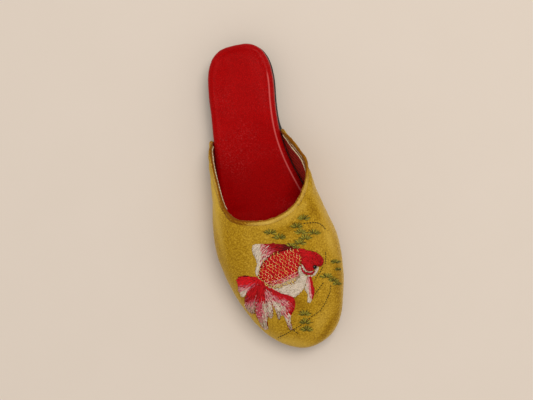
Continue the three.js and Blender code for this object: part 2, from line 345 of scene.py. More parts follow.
tone = leather.blend(pores * 0.7 + 0.3, LEATHER_PORE, tone)
# painted glints: small pale flecks in the colour stand in for tiny highlights on the grain
painted_glint = fleck.between(0.5, 0.78) * leather.cloud(34, detail=1, seed=6.3).between(0.35, 0.65)
tone = leather.blend(painted_glint * 0.55, tone, LEATHER_PAINTED_GLINT)
# painted highlight along the bead's crest on the inner side
near_crest = (1 - leather.stored("bead_offset") * (1 / CREST_HALF)).clamped()
crest_highlight = near_crest * (worn.between(0.2, 0.6) * 0.5 + 0.5)
leather.surface(
    base_color=leather.blend(crest_highlight, tone, LEATHER_CREST_HIGHLIGHT),
    roughness=(0.17 + worn * 0.16 + fleck * 0.1).clamped(),
    specular_ior_level=0.12,
    specular_tint=LEATHER_GLOSS,
    normal=leather.bump(pores * 0.5 + fleck * 0.9, 0.3, 0.16),
)
print("leather", leather.material.name)

# %% [markdown]
# ## Lining, cord and rubber
# The lining is a dull red twill. Where it meets the rolled edge it is bound by a narrow
# cream tape, which a stored measure on the upper marks. The piping is a twisted cream cord,
# and the sole and heel are dark moulded rubber, dusty on their raised grain.

# %% Lining, cord and rubber finishes
TWILL_DARK = (0.1, 0.002, 0.002)
TWILL_LIGHT = (0.64, 0.04, 0.022)
CREAM_DARK = (0.4, 0.27, 0.13)
CREAM_LIGHT = (0.72, 0.58, 0.38)
RUBBER_DARK = (0.018, 0.015, 0.014)
RUBBER_DUST = (0.05, 0.043, 0.038)
lining = Finish("red_lining")
twill = lining.threads(150, 1.2)
weave = (twill * 0.5 + lining.cloud(2.4) * 0.6).clamped()
red_twill = lining.blend(weave, TWILL_DARK, TWILL_LIGHT)
cream_tape = lining.blend(twill, CREAM_DARK, CREAM_LIGHT)
lining.surface(
    base_color=lining.blend(lining.stored("binding").between(0.4, 0.6), red_twill, cream_tape),
    roughness=0.75,
    specular_ior_level=0.15,
    normal=lining.bump(twill, 0.4, 0.25),
)

cream = Finish("cream_cord")
ply = cream.threads(420, 0.4)
cream.surface(
    base_color=cream.blend(ply, CREAM_DARK, CREAM_LIGHT),
    roughness=0.6,
    specular_ior_level=0.2,
    normal=cream.bump(ply, 0.4, 0.15),
)

rubber = Finish("dark_rubber")
dust = rubber.cloud(4, detail=5, seed=7)
rubber.surface(
    base_color=rubber.blend(dust.between(0.4, 0.8), RUBBER_DARK, RUBBER_DUST),
    roughness=(0.5 + dust * 0.3).clamped(),
    specular_ior_level=0.3,
    normal=rubber.bump(rubber.cloud(0.8), 0.35, 0.15),
)
print("finishes", [finish.material.name for finish in (lining, cream, rubber)])

# %% [markdown]
# ## Smooth pieces from the faceted frame
# The CAD solids have few flat faces. A copy is welded, its triangles are joined back into
# four-sided cells, and a subdivision surface rounds it. Edges that are sharp on the real
# piece get a crease, which holds them against the rounding.

# %% Copy and round
ROUND_LEVELS = 2
WELD = 2e-6
CELL_ANGLE = 0.9


def shown_mesh(piece):
    """What a piece shows with its modifiers, as a plain mesh."""
    bpy.context.view_layer.update()
    shown = piece.evaluated_get(bpy.context.evaluated_depsgraph_get())
    return bpy.data.meshes.new_from_object(shown)


def baked(piece):
    """Turns the piece's modifiers into its own mesh."""
    mesh = shown_mesh(piece)
    piece.modifiers.clear()
    piece.data = mesh
    return piece


def welded(node):
    """A copy of a CAD node as an editable net, its loose corners merged."""
    net = bmesh.new()
    net.from_mesh(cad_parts[node].data)
    bmesh.ops.remove_doubles(net, verts=net.verts, dist=WELD)
    return net


def smooth_copy(node, name, sharp_degrees=180, crease=0.8, levels=ROUND_LEVELS):
    """A rounded copy of a CAD node."""
    mesh = bpy.data.meshes.new(name)
    net = welded(node)
    bmesh.ops.join_triangles(
        net, faces=net.faces, angle_face_threshold=CELL_ANGLE, angle_shape_threshold=CELL_ANGLE
    )
    held = net.edges.layers.float.new("crease_edge")
    for edge in net.edges:
        if len(edge.link_faces) == 2 and edge.calc_face_angle() > math.radians(sharp_degrees):
            edge[held] = crease
    for face in net.faces:
        face.smooth = True
    net.to_mesh(mesh)
    net.free()
    piece = new_object(name, mesh)
    rounding = piece.modifiers.new("round", "SUBSURF")
    rounding.levels = levels
    rounding.render_levels = levels
    return baked(piece)


def keep(piece, slot, *materials, node=None):
    """The piece gets its finishes, rides on the frame and may stand for a CAD node."""
    for material in materials:
        piece.data.materials.append(material)
    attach(piece, "root")
    if node:
        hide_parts(node)
    print(piece.name, len(piece.data.polygons), "faces")


# %% [markdown]
# Points are moved many at a time, as arrays: these helpers read and write them, and measure
# lengths, likeness of direction, smooth steps and smooth noise.

# %% Arrays of points


def points_of(mesh):
    flat = np.empty(len(mesh.vertices) * 3)
    mesh.vertices.foreach_get("co", flat)
    return flat.reshape(-1, 3)


def normals_of(mesh):
    return np.array([normal.vector for normal in mesh.vertex_normals])


def set_points(mesh, points):
    mesh.vertices.foreach_set("co", points.ravel())
    mesh.update()


def store(piece, name, values):
    """Keeps one number for each point, for the finish to read."""
    piece.data.attributes.new(name, "FLOAT", "POINT").data.foreach_set("value", values)


def lengths(vectors):
    return np.linalg.norm(vectors, axis=1)


def unit(vectors):
    return vectors / lengths(vectors)[:, None]


def dots(first, second):
    return np.einsum("ij,ij->i", first, second)


def fade(value, start, end):
    """1 up to start, 0 from end on, and smooth between."""
    share = np.clip((value - start) / (end - start), 0, 1)
    return 1 - share * share * (3 - 2 * share)


def clouds(points, size_mm, seed=0.0):
    """Smooth noise at the points, about -1 to 1."""
    shift = Vector((seed, seed * 2, -seed))
    return np.array([noise.noise(Vector(p) / (size_mm * MM) + shift) for p in points])


def search_tree(points):
    """Finds the nearest of the points."""
    tree = kdtree.KDTree(len(points))
    for index, point in enumerate(points):
        tree.insert(point, index)
    tree.balance()
    return tree


print("array helpers ready")

# %% [markdown]
# ## Sole and heel
# A thin flat sole with a low heel block, both dark. Their edges keep a small crease. At the
# back and along the outer side of the heel they are trimmed a little under the footbed, as
# on the real slipper, where no rim shows there from above.

# %% Sole and heel
TRIM = 0.8 * MM
ARCH = 20 * MM
ARCH_REACH = 20 * MM
HEEL_FRONT = 90 * MM
HEEL_REACH = 30 * MM
HEEL_MIDDLE = -2.5 * MM
HEEL_HALF = 29 * MM

for node, name, slot, sharp_degrees, crease in (
    ("outsole", "sole", "sole_rubber", 50, 0.6),
    ("heel", "heel_block", "heel_rubber", 35, 0.75),
):
    piece = smooth_copy(node, name, sharp_degrees, crease)
    points = points_of(piece.data)
    back = np.clip((points[:, 1] - HEEL_FRONT) / HEEL_REACH, 0, 1)
    outer = np.clip((HEEL_MIDDLE - points[:, 0]) / HEEL_HALF, 0, 1)
    side = np.clip((points[:, 1] - ARCH) / ARCH_REACH, 0, 1)
    points[:, 0] += outer * side * TRIM
    points[:, 1] -= back * TRIM
    set_points(piece.data, points)
    keep(piece, slot, rubber.material, node=node)

# %% [markdown]
# ## The padded footbed
# Foam under leather, wrapped round the edge and glued below. It is a soft crowned form: the
# leather is pulled tight at the rim and gathers there in tiny creases. A low bead runs a few
# millimetres inside the edge, where the foam ends over the stiff board.
#
# The crown comes from a cloth simulation. A remeshed copy of the pad is held along its sides
# and its underside, air pressure blows up the top, and how far each point may rise is
# capped. The rise is then carried over to the finished piece, point by point.

# %% Foam
FOAM_VOXEL = 3.2 * MM
FOAM_HELD_BELOW = 0.7
FOAM_MASS = 0.02
FOAM_PRESSURE = 4
FOAM_FRAMES = 20
FOAM_CAP = 0.9 * MM
FOAM_NEIGHBOURS = 6


def foam_rise(piece):
    """How far the simulated leather rises at each point of the piece."""
    pad = new_object("foam_trial", piece.data.copy())
    voxels = pad.modifiers.new("voxels", "REMESH")
    voxels.mode = "VOXEL"
    voxels.voxel_size = FOAM_VOXEL
    baked(pad)
    start = points_of(pad.data)
    held = pad.vertex_groups.new(name="held")
    fixed = np.flatnonzero(normals_of(pad.data)[:, 2] < FOAM_HELD_BELOW)
    held.add([int(index) for index in fixed], 1.0, "REPLACE")
    cloth = pad.modifiers.new("leather", "CLOTH")
    cloth.settings.vertex_group_mass = "held"
    cloth.settings.mass = FOAM_MASS
    cloth.settings.use_pressure = True
    cloth.settings.uniform_pressure_force = FOAM_PRESSURE
    cloth.settings.effector_weights.gravity = 0
    cloth.point_cache.frame_end = FOAM_FRAMES
    for frame_number in range(1, FOAM_FRAMES + 1):
        scene.frame_set(frame_number)
    baked(pad)
    rise = lengths(points_of(pad.data) - start)
    print("foam rises", round(float(rise.max()) / MM, 2), "mm before the cap")
    rise = FOAM_CAP * np.tanh(rise / FOAM_CAP)
    tree = search_tree(start)
    bpy.data.objects.remove(pad)
    scene.frame_set(1)
    carried = []
    for place in points_of(piece.data):
        near = tree.find_n(place, FOAM_NEIGHBOURS)
        weights = [1 / (distance + FOAM_VOXEL / 4) ** 2 for _, _, distance in near]
        total = sum(w * rise[index] for w, (_, index, _) in zip(weights, near))
        carried.append(total / sum(weights))
    return np.array(carried)


# %% [markdown]
# The finished footbed adds the bead and the gathers to the simulated crown.

# %% Footbed
GATHER_PITCH = 3.1
GATHER_DEPTH = 0.16 * MM
SWELL_PITCH = 22
SWELL_DEPTH = 0.2 * MM
BEAD_INSET = 3.6 * MM
BEAD_WIDTH = 1.3 * MM
BEAD_RISE = 0.4 * MM
RIM_FACING = 0.35
TOP_FACING = 0.5

footbed = smooth_copy("footbed", "padded_footbed", 60, 0.35)
crown = foam_rise(footbed)
places = points_of(footbed.data)
outward = normals_of(footbed.data)
upright = np.abs(outward[:, 2])
rim_tree = search_tree([(x, y, 0) for x, y, _ in places[upright < RIM_FACING]])
inset = np.array([rim_tree.find((x, y, 0))[2] for x, y, _ in places])
on_top = outward[:, 2] > TOP_FACING
gathers = (1 - np.clip(upright * 1.15, 0, 1)) * clouds(places, GATHER_PITCH) * GATHER_DEPTH
bead = np.exp(-(((inset - BEAD_INSET) / BEAD_WIDTH) ** 2)) * BEAD_RISE
lift = gathers + on_top * (crown + clouds(places, SWELL_PITCH) * SWELL_DEPTH + bead)
set_points(footbed.data, places + outward * lift[:, None])
# the inner side, which faces the lamp, carries the painted crest highlight; it fades out towards
# the heel's back
lit_side = (1 - fade(places[:, 0], -2 * MM, 4 * MM)) * fade(places[:, 1], 92 * MM, 112 * MM)
off_crest = np.where(on_top, np.abs(inset - BEAD_INSET), 1) + (1 - lit_side) * 2 * MM
store(footbed, "bead_offset", off_crest)
keep(footbed, "red_leather", leather.material, node="footbed")

# %% [markdown]
# ## Where the collar runs
# Much of the upper is shaped by its distance to the rolled collar: puckers start there, and
# the velvet swells there over its turned-under hem. The roll's centre line is found from
# its own points, each moved inwards by the roll's radius.

# %% The collar's line
ROLL_RADIUS = 1.6 * MM
CORD_SIDES = 8
LINE_NEAR = 6
INSTEP_Y = 60 * MM
SPINE_TOE_Y = -80 * MM
SPINE_HEIGHT = 20 * MM


def cores_of(node, radius):
    """The points of a cord, each moved inwards onto the cord's centre line."""
    net = welded(node)
    net.normal_update()
    cores = [vert.co - vert.normal * radius for vert in net.verts]
    net.free()
    return cores


def rings(cores):
    """The centre line as places from the outer wing to the inner."""
    cores = np.array(cores)
    cores = cores[np.argsort(np.arctan2(cores[:, 0], INSTEP_Y - cores[:, 1]))]
    count = len(cores) // CORD_SIDES
    return np.array([group.mean(axis=0) for group in np.array_split(cores, count)])


def nearest(tree, points, count):
    """For each point, the middle of its nearest places in the tree."""
    near = [[place for place, _, _ in tree.find_n(point, count)] for point in points]
    return np.array([sum(group, Vector()) / count for group in near])


def is_outer(points, facing):
    """True where a face looks away from a line along the middle of the foot."""
    spine = points * (0, 1, 0) + (0, 0, SPINE_HEIGHT)
    spine[:, 1] = np.maximum(spine[:, 1], SPINE_TOE_Y)
    return dots(points - spine, facing) > 0


roll_cores = cores_of("collar_roll", ROLL_RADIUS)
collar = search_tree(roll_cores)
collar_rings = rings(roll_cores)
collar_ends = (collar_rings[0], collar_rings[-1])
print("collar line of", len(collar_rings), "places, ends", np.round(collar_ends, 3).tolist())

# %% [markdown]
# ## Where the pile is brushed, and where light and shade are painted
# Velvet keeps the mark of every touch. The pale and the deep patches of this slipper are
# partly brushed nap and partly painted light: pale patches paint the sheen highlights along
# the rims, the outer wing and the toe, and deep ones paint the shade of folds and between
# the fins. They are placed one by one, in the draft of the embroidery: the view from above,
# x to the right and y down. A patch has a middle, a length, a width, a turn in degrees and a
# strength, which is below 0 where the patch is deep: pile pressed the other way, and painted
# shade.

# %% Brushed patches and painted light
# pale patches are painted sheen highlights, deep ones painted shade; both partly brushed nap
PATCHES = [
    ((207, 249), 16, 3.6, -34, 0.3),
    ((184, 258), 18, 3, -6, 0.22),
    ((128, 217), 30, 5, 82, 0.7),
    ((133, 262), 30, 3, 78, 0.6),
    ((235, 240), 26, 3.4, 64, 0.4),
    ((219, 240), 7, 2.6, -48, 0.25),
    ((229, 244), 11, 4, 60, -0.4),
    ((246, 276), 20, 3.5, 68, 0.45),
    ((150, 330), 26, 3, 60, 0.4),
    ((176, 362), 30, 4, 44, 0.55),
    ((207, 378), 18, 5, 6, 0.6),
    ((236, 356), 16, 6, -60, 0.3),
    ((152, 288), 20, 10, 60, -0.08),
    ((205, 263), 15, 3, -30, -0.45),
    ((253, 312), 26, 4, 88, -0.35),
    ((245, 361), 18, 2.2, -58, -0.6),
    ((144, 238), 20, 2, 62, -0.5),
    ((214, 338), 9, 5, 30, -0.5),
]


def to_draft(points):
    """Where points appear in the draft."""
    away = points - np.array(EYE)
    depth = -away[:, 2]
    across = PHOTO_CENTRE[0] + PHOTO_FOCAL * (away @ np.array(PHOTO_RIGHT)) / depth
    down = PHOTO_CENTRE[1] - PHOTO_FOCAL * (away @ np.array(PHOTO_UP)) / depth
    return across, down


def brush_and_light_marks(points):
    """How pale, or how deep below 0, each point is: brushed nap and painted light and shade."""
    across, down = to_draft(points)
    total = np.zeros(len(points))
    for (x, y), length, width, degrees, pale in PATCHES:
        turn = math.radians(degrees)
        dx, dy = across - x, down - y
        long = (dx * math.cos(turn) + dy * math.sin(turn)) / length
        wide = (dy * math.cos(turn) - dx * math.sin(turn)) / width
        total += pale * np.exp(-(long**2) - wide**2)
    return total


def brush_and_light(piece, extra=0.0):
    """Stores the marks on a velvet piece."""
    points = points_of(piece.data)
    store(piece, "brushed_and_lit", brush_and_light_marks(points) * (1 + 0.35 * clouds(points, 9, 2.0)) + extra)


print(len(PATCHES), "brushed patches")

# %% [markdown]
# ## Creases, placed one by one
# The turned-over edge pulls the velvet into short puckers that run away from the collar, and
# a few longer soft folds lie on the inner side, where the foot bends the vamp. Each
# row is one crease: its direction in degrees from the instep's middle (0 is towards the
# toe, plus is the inner side), how far it runs, how deep it is and how wide, in millimetres.

# %% Crease table
THROAT_MIDDLE_Y = 45 * MM
PUCKERS = [
    (-78, 16, 0.35, 2.2),
    (-63, 22, 0.4, 2.8),
    (-47, 14, 0.35, 2.4),
    (-34, 26, 0.5, 3.4),
    (-22, 12, 0.45, 2.2),
    (-12, 18, 0.5, 2.8),
    (-3, 11, 0.4, 2.0),
    (6, 20, 0.55, 3.0),
    (14, 13, 0.5, 2.2),
    (22, 28, 0.8, 3.6),
    (31, 15, 0.6, 2.4),
    (41, 34, 0.9, 4.4),
    (53, 16, 0.55, 2.8),
    (66, 30, 0.7, 4.0),
]


def crease_depth(points, gone):
    """How deep the creases go at each point, in metres."""
    away = THROAT_MIDDLE_Y - points[:, 1]
    turn = np.degrees(np.arctan2(points[:, 0], away))
    reach = np.hypot(points[:, 0], away)
    depth = np.zeros(len(points))
    for middle, run, deep, wide in PUCKERS:
        aside = np.radians(turn - middle) * reach / (wide * MM)
        along = np.clip(gone, 0, None) / (run * MM)
        depth += deep * MM * np.exp(-(aside**2) - along**2)
    return depth


print(len(PUCKERS), "creases")

# %% [markdown]
# ## The velvet upper
# One vamp of velvet over a stiffener, lined with red. It is rounded from the frame. The
# velvet is folded under along the collar, so it stands a little thicker there, as a hem 7 mm
# wide. At the toe a shallow groove follows the sole, where the velvet was pulled over the
# last. The rim reaches into the roll, so that the two read as one folded edge. Velvet wraps
# the rim and the wings' tips, and inside a narrow cream tape binds the lining's edge.

# %% Upper
HEM_RISE = 0.45 * MM
GROOVE_DEPTH = 0.45 * MM
GROOVE_HEIGHT = 20 * MM
GROOVE_WIDTH = 1.1 * MM
RIM_SHARE = 0.45
TAPE_WIDTH = 2.6 * MM
RIM_REACH = 1.4 * MM
RIM_FACES_ROLL = 0.6
TIP_HEM = 4.2 * MM
TIP_WALL = 42 * MM
TIP_FACES_BACK = 0.12

upper = smooth_copy("upper", "velvet_upper")
places = points_of(upper.data)
outward = normals_of(upper.data)
gap = nearest(collar, places, LINE_NEAR) - places
gone = lengths(gap) - ROLL_RADIUS
outside = is_outer(places, outward)
crumple = 0.1 + 0.22 * fade(gone, 2 * MM, 18 * MM)
soft = clouds(places, 30) * 0.5 + clouds(places, 11, 4.0) * 0.28
soft += clouds(places, 4.5, 9.0) * crumple
hem = fade(gone, 6 * MM, 9 * MM) * HEM_RISE
toe_side = fade(places[:, 1], -85 * MM, -55 * MM) * (1 - fade(places[:, 0], -15 * MM, 5 * MM))
groove = np.exp(-(((places[:, 2] - GROOVE_HEIGHT) / GROOVE_WIDTH) ** 2)) * GROOVE_DEPTH * toe_side
moved = np.where(outside, soft * MM + hem - crease_depth(places, gone) - groove, 0)
rim = fade(gone, 0.2 * MM, 1.6 * MM) * RIM_SHARE
set_points(upper.data, places + outward * moved[:, None] + gap * rim[:, None])
store(upper, "binding", np.where(outside, 0, fade(gone, TAPE_WIDTH * 0.85, TAPE_WIDTH * 1.15)))
brush_and_light(upper)

centres = np.array([face.center for face in upper.data.polygons])
facing = np.array([face.normal for face in upper.data.polygons])
to_roll = nearest(collar, centres, LINE_NEAR) - centres
far = lengths(to_roll)
on_rim = (dots(to_roll, facing) / far > RIM_FACES_ROLL) & (far < ROLL_RADIUS + RIM_REACH)
to_tip = np.min([lengths(centres - end) for end in collar_ends], axis=0)
on_tip = (to_tip < TIP_HEM) | ((centres[:, 1] > TIP_WALL) & (facing[:, 1] > TIP_FACES_BACK))
slots = np.where(is_outer(centres, facing) | on_rim | on_tip, 0, 1).astype(np.int32)
upper.data.polygons.foreach_set("material_index", slots)
keep(upper, "velvet", velvet, lining.material, node="upper")

# %% [markdown]
# ## Rolled collar and piping
# The velvet is turned over the edge of the vamp as a soft roll, and a thin cream cord is
# caught between the roll and the lining. Below, the roll runs out in a skirt onto the vamp,
# because it is the same piece of velvet. It follows the puckers, and a hand-sewn edge is
# never quite even, so it also waves a little. At each tip the roll is drawn out and thinned,
# down over the corner of the wing. Light and shade are painted into the roll's colour: a
# painted highlight on the front of the throat, and painted shade on the wings, along the
# outer side and on the face that looks towards the foot.

# %% Collar
ROLL_SKIRT = 1.3 * MM
OPENING_Y = 15 * MM
TIP_START = 3 * MM
TIP_REACH = 2.6 * MM
TIP_THIN = 0.4
TIP_NEAR = 8 * MM
WALL_NEAR = 24

roll = smooth_copy("collar_roll", "rolled_collar")
places = points_of(roll.data)
for end, before in ((collar_rings[0], collar_rings[2]), (collar_rings[-1], collar_rings[-3])):
    ahead = (end - before) / np.linalg.norm(end - before)
    past = (places - end) @ ahead
    share = np.clip((past + TIP_START) / (TIP_START + ROLL_RADIUS), 0, 1)
    share[lengths(places - end) > TIP_NEAR] = 0
    sideways = places - end - past[:, None] * ahead
    places += ahead * (share * TIP_REACH)[:, None] - sideways * (share**2 * TIP_THIN)[:, None]
outward = normals_of(roll.data)
line = nearest(collar, places, LINE_NEAR)
wall_tree = search_tree([vert.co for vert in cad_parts["upper"].data.vertices])
down = unit(nearest(wall_tree, line, WALL_NEAR) - line)
below = 1 - fade(dots(outward, down), -0.25, 0.75)
wavy = clouds(places, 5) * 0.3 + clouds(places, 2.2, 3.0) * 0.12
dent = crease_depth(places, np.zeros(len(places))) * 0.5
moved = outward * (wavy * MM - dent)[:, None] + down * (below * ROLL_SKIRT)[:, None]
set_points(roll.data, places + moved)
# painted light on the roll: a highlight at the throat's front, shade on the wings, the outer side
# and the face towards the foot
to_foot = unit(np.stack([-places[:, 0], np.clip(OPENING_Y - places[:, 1], 0, None)], axis=1))
shaded_inner_face = np.clip(dots(outward[:, :2], to_foot) * 1.6 + 0.25, 0, 1)
lit_front = fade(places[:, 1], 0, 22 * MM) * (1 - fade(places[:, 0], -26 * MM, -6 * MM))
brush_and_light(roll, lit_front * 0.45 - (1 - lit_front) * 0.3 - shaded_inner_face * (1.1 - 0.35 * lit_front))
keep(roll, "rolled_velvet", rolled_velvet, node="collar_roll")

# %% [markdown]
# ## The cream piping
# The frame has the middle stretch of the thin cord inside the roll, and a smooth copy stands
# in for it. Towards the tips of the wings the cord is a bare line that peeps out under the
# roll. It is drawn as two curves beside the roll's line, each thinner towards its tip.

# %% Piping
PIPING_RADIUS = 0.6 * MM
EDGE_RADIUS = 0.42 * MM
EDGE_IN = 1.62 * MM
EDGE_DOWN = 0.55 * MM
EDGE_TIP = 0.6
EDGE_TAPER = 0.04
OUTER_STRETCH = 21

piping = smooth_copy("collar_piping", "cream_piping", levels=1)
keep(piping, "cream_cord", cream.material, node="collar_piping")

cord_end = rings(cores_of("collar_piping", PIPING_RADIUS))[-1]
last = int(np.argmin(lengths(collar_rings - cord_end)))
along = np.gradient(collar_rings, axis=0)
inward = unit(np.stack([-along[:, 1], along[:, 0], np.zeros(len(along))], axis=1))
beside = collar_rings + inward * EDGE_IN - np.array((0, 0, EDGE_DOWN))
share = fade(np.arange(len(beside) - last), 0, len(beside) - last - 1)
inner_stretch = beside[last:] + (cord_end - beside[last]) * share[:, None]
curve = bpy.data.curves.new("cream_edge", "CURVE")
curve.dimensions = "3D"
curve.bevel_depth = EDGE_RADIUS
curve.bevel_resolution = 2
curve.use_fill_caps = True
for stretch in (beside[:OUTER_STRETCH], inner_stretch[::-1]):
    strand = curve.splines.new("POLY")
    strand.points.add(len(stretch) - 1)
    for index, (point, place) in enumerate(zip(strand.points, stretch)):
        point.co = (*place, 1)
        point.radius = min(1, EDGE_TIP + EDGE_TAPER * min(index, len(stretch) - 1 - index))
drawn = new_object("cream_edge_drawing", curve)
cream_edge = new_object("cream_edge", shown_mesh(drawn))
bpy.data.objects.remove(drawn)
keep(cream_edge, "cream_cord", cream.material)

# %% [markdown]
# ## Drawing on the velvet
# The embroidery is drafted flat, as it is seen from above, in the units of the draft: x to
# the right and y down. Each point of the draft is carried along the line of sight onto the
# velvet, so that the threads lie on the curved vamp wherever it goes.

# %% From the draft to the velvet
velvet_skin = BVHTree.FromPolygons(
    [v.co.copy() for v in upper.data.vertices], [tuple(p.vertices) for p in upper.data.polygons]
)


def on_velvet(x, y):
    """The place on the velvet under a point of the draft, and the way it faces."""
    sight = (
        PHOTO_RIGHT * ((x - PHOTO_CENTRE[0]) / PHOTO_FOCAL)
        - PHOTO_UP * ((y - PHOTO_CENTRE[1]) / PHOTO_FOCAL)
        - Vector((0, 0, 1))
    )
    place, facing_way, _, _ = velvet_skin.ray_cast(EYE, sight.normalized())
    return place, facing_way


# %% [markdown]
# ## A stitch, thousands of times
# Every thread is a flattened spindle from one hole to the next. Geometry Nodes put one such
# spindle on each point of a cloud. The points carry the thread's direction, the way the
# velvet faces, the thread's size and its colour. The spindle's sides, rings and thickness are
# the tree's own inputs.

# %% The stitch tree
SPINDLE = {"Sides": 5, "Rings": 4, "Thickness": 1.0}


def stitch_tree(finish):
    """Geometry Nodes that lay one spindle on each point, and their sockets by name."""
    tree = bpy.data.node_groups.new("lay_stitches", "GeometryNodeTree")
    sockets = {}
    for name, way, kind in (
        ("Points", "INPUT", "Geometry"),
        ("Sides", "INPUT", "Int"),
        ("Rings", "INPUT", "Int"),
        ("Thickness", "INPUT", "Float"),
        ("Threads", "OUTPUT", "Geometry"),
    ):
        made = tree.interface.new_socket(name, in_out=way, socket_type="NodeSocket" + kind)
        sockets[name] = made.identifier
    net = Net(tree)

    def given(name):
        return net.node("NodeGroupInput", {}, name)

    def stored(name):
        kind = "GeometryNodeInputNamedAttribute"
        return net.node(kind, {"Name": name}, "Attribute", data_type="FLOAT_VECTOR")

    form = {"Segments": given("Sides"), "Rings": given("Rings"), "Radius": 0.5}
    ball = net.node("GeometryNodeMeshUVSphere", form)
    thickness = given("Thickness")
    girth = net.node("ShaderNodeCombineXYZ", {"X": thickness, "Y": thickness, "Z": 1})
    scaled = net.node("ShaderNodeVectorMath", {0: stored("size"), 1: girth}, operation="MULTIPLY")
    turned = net.node(
        "FunctionNodeAxesToRotation",
        {"Primary Axis": stored("along"), "Secondary Axis": stored("facing")},
        primary_axis="Z",
        secondary_axis="Y",
    )
    lying = {"Points": given("Points"), "Instance": ball, "Rotation": turned, "Scale": scaled}
    laid = net.node("GeometryNodeInstanceOnPoints", lying)
    real = net.node("GeometryNodeRealizeInstances", {"Geometry": laid})
    smooth = net.node("GeometryNodeSetShadeSmooth", {"Geometry": real})
    coat = net.node("GeometryNodeSetMaterial", {"Geometry": smooth, "Material": finish})
    net.feed(tree.nodes.new("NodeGroupOutput").inputs["Threads"], coat)
    return tree, sockets


# %% [markdown]
# ## Embroidery thread
# Twisted silk: it shines a little more than the velvet around it, and its colour comes from
# the stitch's own attribute. Fine noise breaks it up, as the strands of the thread do.

# %% Thread finish
STRAND_SHADOW = (0.05, 0.015, 0.008)
silk = Finish("silk_thread")
strand = silk.cloud(0.6, detail=2)
silk.surface(
    base_color=silk.blend(
        strand.between(0.3, 0.7) * 0.25, silk.stored("thread", "Color"), STRAND_SHADOW
    ),
    roughness=(0.36 + strand * 0.1).clamped(),
    specular_ior_level=0.1,
    normal=silk.bump(strand, 0.3, 0.1),
)
print("thread finish", silk.material.name)

# %% [markdown]
# ## The needle
# A stitch is kept as a row: where it lies, which way it runs, the way the velvet faces, its
# size and its colour. Each thread's shade differs a little, which gives the silk its life.
# The colours are plain dyes: reds, roses, warm whites, golds, greens, brown and black.

# %% The stitcher
THREAD_LIFT = 0.1
THREADS = {
    "red": (0.54, 0.004, 0.008),
    "bright_red": (0.6, 0.005, 0.009),
    "fire_red": (0.76, 0.008, 0.014),
    "crimson": (0.52, 0.003, 0.022),
    "dull_red": (0.36, 0.002, 0.005),
    "deep_red": (0.13, 0.001, 0.002),
    "rose": (0.56, 0.075, 0.105),
    "pale_rose": (0.68, 0.27, 0.26),
    "deep_rose": (0.34, 0.05, 0.06),
    "white": (0.7, 0.58, 0.45),
    "grey_white": (0.5, 0.38, 0.25),
    "gold": (0.86, 0.59, 0.15),
    "pale_gold": (0.95, 0.78, 0.34),
    "leaf": (0.38, 0.31, 0.03),
    "olive": (0.25, 0.205, 0.016),
    "moss": (0.085, 0.078, 0.009),
    "ink_green": (0.022, 0.02, 0.006),
    "brown": (0.12, 0.055, 0.004),
    "black": (0.002, 0.002, 0.003),
}


class Stitcher:
    """Collects stitches, and then lays them all as one piece."""

    def __init__(self, seed):
        self.random = np.random.default_rng(seed)
        self.rows = []

    def stitch(self, start, end, thread, width, height, tone, lift):
        """One thread between two points of the draft, its sizes and its lift in millimetres."""
        first, _ = on_velvet(*start)
        last, _ = on_velvet(*end)
        middle, facing_way = on_velvet((start[0] + end[0]) / 2, (start[1] + end[1]) / 2)
        if first is None or last is None or middle is None:
            return
        along = last - first
        shade = 1 + tone * self.random.uniform(-1, 1)
        colour = [c * shade for c in THREADS[thread]]
        size = (width * MM, height * MM, along.length)
        place = (first + last) / 2 + facing_way * (THREAD_LIFT + lift) * MM
        self.rows.append((place, along.normalized(), facing_way, size, (*colour, 1)))

    def lay(self, name):
        """Turns the collected stitches into one mesh."""
        cloud = bpy.data.meshes.new(name)
        cloud.from_pydata([row[0] for row in self.rows], [], [])
        for column, key in enumerate(("along", "facing", "size", "thread"), 1):
            kind, part = ("COLOR", "color") if key == "thread" else ("VECTOR", "vector")
            layer = cloud.attributes.new(key, "FLOAT_" + kind, "POINT")
            layer.data.foreach_set(part, np.array([row[column] for row in self.rows]).ravel())
        piece = new_object(name, cloud)
        nodes = piece.modifiers.new("stitches", "NODES")
        nodes.node_group, sockets = stitch_tree(silk.material)
        for key, value in SPINDLE.items():
            nodes[sockets[key]] = value
        baked(piece)
        keep(piece, "velvet")
        print(name, len(self.rows), "stitches")


# %% [markdown]
# ## Filling a shape with long and short stitches
# A shape's inside is covered twice. Wide dark threads go first, as the padding, and fine
# bright ones over them: between two bright threads the dark one shows, as the shadow does in
# real satin stitch. Under white the padding is grey, so that the white stays clean. Both sit
# on a loose triangular grid, run along the shape's own direction and are cut short at its
# outline, and a shape's middle is raised. Neighbouring colours meet raggedly, because a
# stitch reads its colour a little before or behind its place.

# %% Fill
GRID_ROW = 0.87
GRID_SHAKE = 0.3
SHORTEST = 0.5
CUT_BACK = 0.75
PAD_SLOPE = 3.0
LINE_TONE = 0.2
PADDING = {"pitch": 1.9, "width": 1.75, "height": 0.5, "tone": 0.25, "stray": 0, "lift": 0}
COVER = {"pitch": 1.3, "width": 0.66, "height": 0.55, "tone": 0.22, "stray": 2.2, "lift": 0.2}


def corner_pairs(outline):
    return zip(outline, outline[1:] + outline[:1])


def extent(outline):
    """The lowest and the highest corner of the box around an outline."""
    return [[pick(values) for values in zip(*outline)] for pick in (min, max)]


def part_way(start, end, share):
    """The place at a share of the way from start to end."""
    return [a + (b - a) * share for a, b in zip(start, end)]


def inside(outline, x, y):
    """True where a point of the draft lies inside a closed outline."""
    hit = False
    for (ax, ay), (bx, by) in corner_pairs(outline):
        if (ay > y) != (by > y) and x < ax + (y - ay) / (by - ay) * (bx - ax):
            hit = not hit
    return hit


